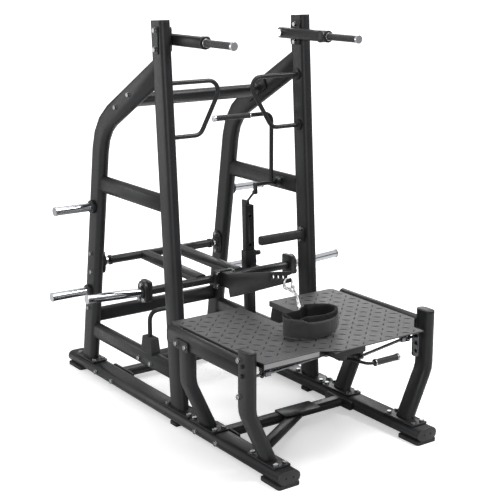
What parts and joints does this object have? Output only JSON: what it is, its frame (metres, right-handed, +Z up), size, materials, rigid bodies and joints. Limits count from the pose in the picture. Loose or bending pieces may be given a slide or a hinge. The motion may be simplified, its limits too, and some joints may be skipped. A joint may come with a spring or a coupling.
{
  "type": "belt squat machine",
  "caption": "Standing belt squat machine with a leaning tube frame, tread platform, weight lever with loading pegs, hanging chain and padded belt, and hand holds.",
  "frame": {"origin": "centre of the footprint on the floor", "axes": "+X to the machine's right, +Y to its rear, +Z up"},
  "size_m": [1.7106, 2.19, 2.1561],
  "materials": {
    "black_paint": "satin powder coat",
    "black_plastic": "matte",
    "black_rubber": "matte",
    "bright_chrome": "polished",
    "bright_steel": "zinc plated",
    "tread_paint": "satin",
    "belt_fabric": "woven"
  },
  "bodies": {
    "frame": {"base_rail_left": "black_paint", "rail_cap_front_left": "black_plastic", "rail_cap_rear_left": "black_plastic", "foot_front_left": "black_rubber", "foot_rear_left": "black_rubber", "front_upright_left": "black_paint", "rear_upright_left": "black_paint", "upper_side_beam_left": "black_paint", "lower_side_beam_left": "black_paint", "middle_leg_left": "black_paint", "front_leg_left": "black_paint", "platform_beam_left": "black_paint", "storage_peg_upper_left": "bright_chrome", "storage_peg_lower_left": "bright_chrome", "pivot_bearing_left": "bright_steel", "bumper_left": "black_rubber", "hand_loop_left": "black_paint", "top_handle_left": "black_paint", "base_rail_right": "black_paint", "rail_cap_front_right": "black_plastic", "rail_cap_rear_right": "black_plastic", "foot_front_right": "black_rubber", "foot_rear_right": "black_rubber", "front_upright_right": "black_paint", "rear_upright_right": "black_paint", "upper_side_beam_right": "black_paint", "lower_side_beam_right": "black_paint", "middle_leg_right": "black_paint", "front_leg_right": "black_paint", "platform_beam_right": "black_paint", "storage_peg_upper_right": "bright_chrome", "storage_peg_lower_right": "bright_chrome", "pivot_bearing_right": "bright_steel", "bumper_right": "black_rubber", "hand_loop_right": "black_paint", "top_handle_right": "black_paint", "top_crossbeam": "black_paint", "rear_crossbeam": "black_paint", "rear_floor_member": "black_paint", "front_floor_member": "black_paint", "mid_cross_member": "black_paint", "platform": "tread_paint", "side_support_pad": "black_rubber"},
    "lever": {"lever_frame": "black_paint", "lever_nose": "black_paint", "lever_catch": "black_paint", "load_peg_left": "bright_chrome", "load_peg_right": "bright_chrome"},
    "belt_and_chain": {"chain": "bright_steel", "belt": "belt_fabric"},
    "stop_post": {"stop_post": "black_paint", "stop_sleeve": "black_paint", "stop_ledge": "black_paint"},
    "pull_pin": {"pull_pin": "black_plastic"},
    "release_handle": {"release_handle": "black_paint"},
    "release_link": {"release_link": "black_paint"},
    "lock_lever": {"lock_lever": "black_paint"},
    "lock_rod_left": {"lock_rod_left": "bright_steel"},
    "lock_rod_right": {"lock_rod_right": "bright_steel"}
  },
  "joints": [
    {"name": "lever_pivot", "type": "hinge", "parent": "frame", "child": "lever", "pos_m": [0, 0.81, 0.706], "axis": [-1, 0, 0], "range_deg": [0, 20]},
    {"name": "chain_hang", "type": "hinge", "parent": "lever", "child": "belt_and_chain", "pos_m": [0, -0.477, 0.834], "axis": [-1, 0, 0], "range_deg": [-20, 0]},
    {"name": "stop_post_tilt", "type": "hinge", "parent": "frame", "child": "stop_post", "pos_m": [0.275, 0.2518, 0.322], "axis": [1, 0, 0], "range_deg": [-1.1, 0]},
    {"name": "pull_pin_slide", "type": "slide", "parent": "stop_post", "child": "pull_pin", "axis": [1, 0, 0], "range_m": [0, 0.016]},
    {"name": "release_handle_turn", "type": "hinge", "parent": "frame", "child": "release_handle", "pos_m": [0, 0.173, 1.195], "axis": [1, 0, 0], "range_deg": [0, 19]},
    {"name": "release_link_swing", "type": "hinge", "parent": "release_handle", "child": "release_link", "pos_m": [0, 0.1659, 1.15259], "axis": [1, 0, 0], "range_deg": [-19, 0]},
    {"name": "lock_lever_turn", "type": "hinge", "parent": "frame", "child": "lock_lever", "pos_m": [0.015, -0.911, 0.521], "axis": [0, 0, 1], "range_deg": [-15, 0]},
    {"name": "lock_rod_left_slide", "type": "slide", "parent": "frame", "child": "lock_rod_left", "axis": [1, 0, 0], "range_m": [0, 0.0166]},
    {"name": "lock_rod_right_slide", "type": "slide", "parent": "frame", "child": "lock_rod_right", "axis": [-1, 0, 0], "range_m": [0, 0.0166]}
  ],
  "couplings": [
    {"joint": "chain_hang", "follows": "lever_pivot", "ratio": -1},
    {"joint": "stop_post_tilt", "follows": "release_handle_turn", "ratio": -0.0566},
    {"joint": "release_link_swing", "follows": "release_handle_turn", "ratio": -1},
    {"joint": "lock_rod_left_slide", "follows": "lock_lever_turn", "m_per_rad": -0.0631},
    {"joint": "lock_rod_right_slide", "follows": "lock_lever_turn", "m_per_rad": -0.0631}
  ]
}
